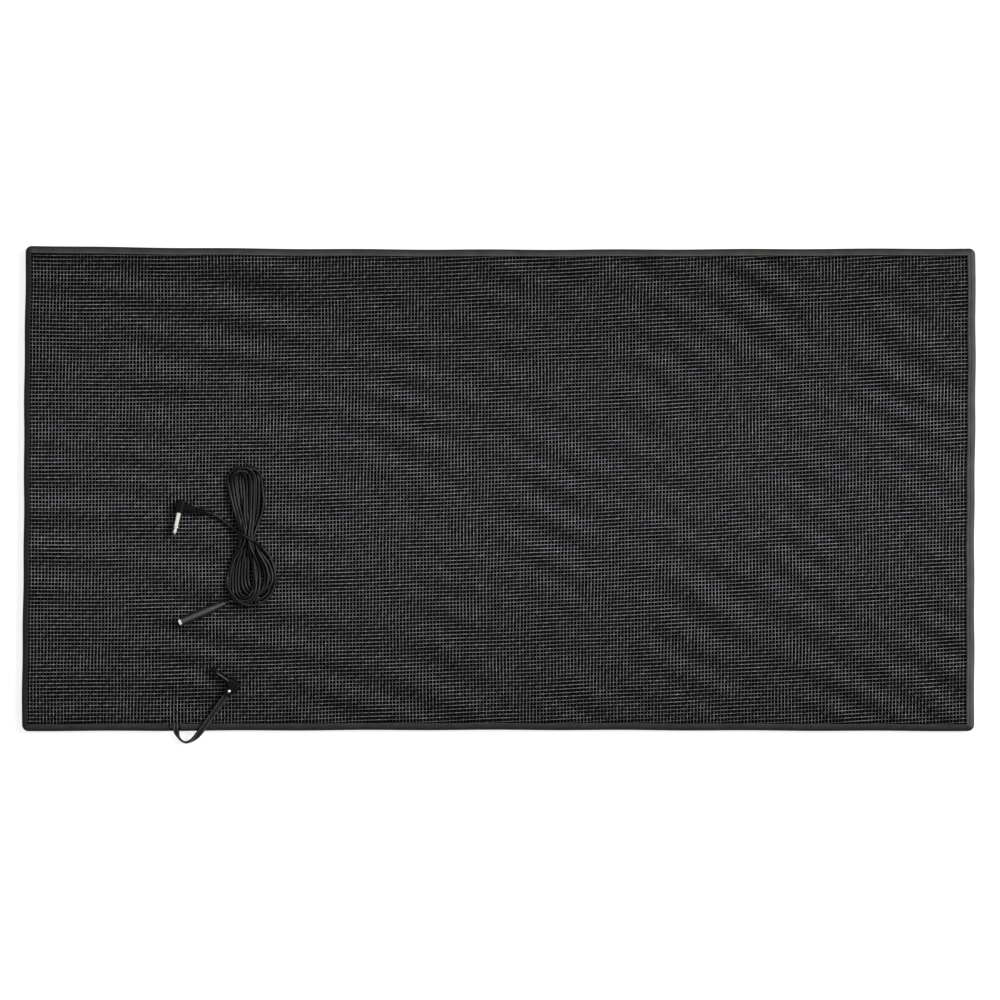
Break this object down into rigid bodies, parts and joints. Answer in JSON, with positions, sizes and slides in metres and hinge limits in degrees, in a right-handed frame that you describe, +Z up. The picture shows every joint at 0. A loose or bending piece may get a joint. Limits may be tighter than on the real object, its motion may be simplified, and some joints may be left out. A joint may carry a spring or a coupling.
{
  "type": "safety mat",
  "caption": "Flat rectangular pressure-sensing floor mat with a mesh top, bound edge, short flat tail lead with an angled plug, and a hanked extension lead lying on it.",
  "frame": {"origin": "under the middle of the mat, on the floor it lies on", "axes": "+X along the mat's long side, +Y across it away from the edge with the tail lead, +Z up"},
  "size_m": [0.61, 0.3182, 0.0148],
  "materials": {
    "base_rubber": "matt black flexible sheet",
    "foil": "dull rolled foil",
    "foam": "open-cell grey foam",
    "seal": "matt adhesive strip",
    "top_film": "matt black film",
    "mesh": "satin coated thread",
    "binding": "satin extruded strip",
    "tinned_tag": "tinned",
    "core_red": "coloured insulation",
    "core_black": "coloured insulation",
    "lead_jacket": "satin black jacket",
    "nickel": "bright nickel plate",
    "moulding": "fine-textured black moulding",
    "insulator": "smooth black",
    "spring": "rolled strip"
  },
  "bodies": {
    "root": {"base_sheet": "base_rubber", "lower_electrode": "foil", "foam_spacer": "foam", "upper_electrode": "foil", "edge_seal": "seal", "top_sheet": "top_film", "mesh_warp": "mesh", "mesh_weft": "mesh", "edge_binding": "binding", "lower_tag": "tinned_tag", "upper_tag": "tinned_tag", "lower_core": "core_red", "upper_core": "core_black", "tail_lead": "lead_jacket", "tail_rivet": "nickel", "tail_plug_body": "moulding", "tail_plug_sleeve": "nickel", "tail_plug_insulator": "insulator", "tail_plug_tip": "nickel", "lead_plug_run": "lead_jacket", "lead_hank": "lead_jacket", "lead_socket_run": "lead_jacket", "lead_plug_body": "moulding", "lead_plug_sleeve": "nickel", "lead_plug_insulator": "insulator", "lead_plug_tip": "nickel", "lead_socket_body": "moulding", "lead_socket_barrel": "nickel", "lead_socket_spring": "spring"}
  },
  "joints": []
}
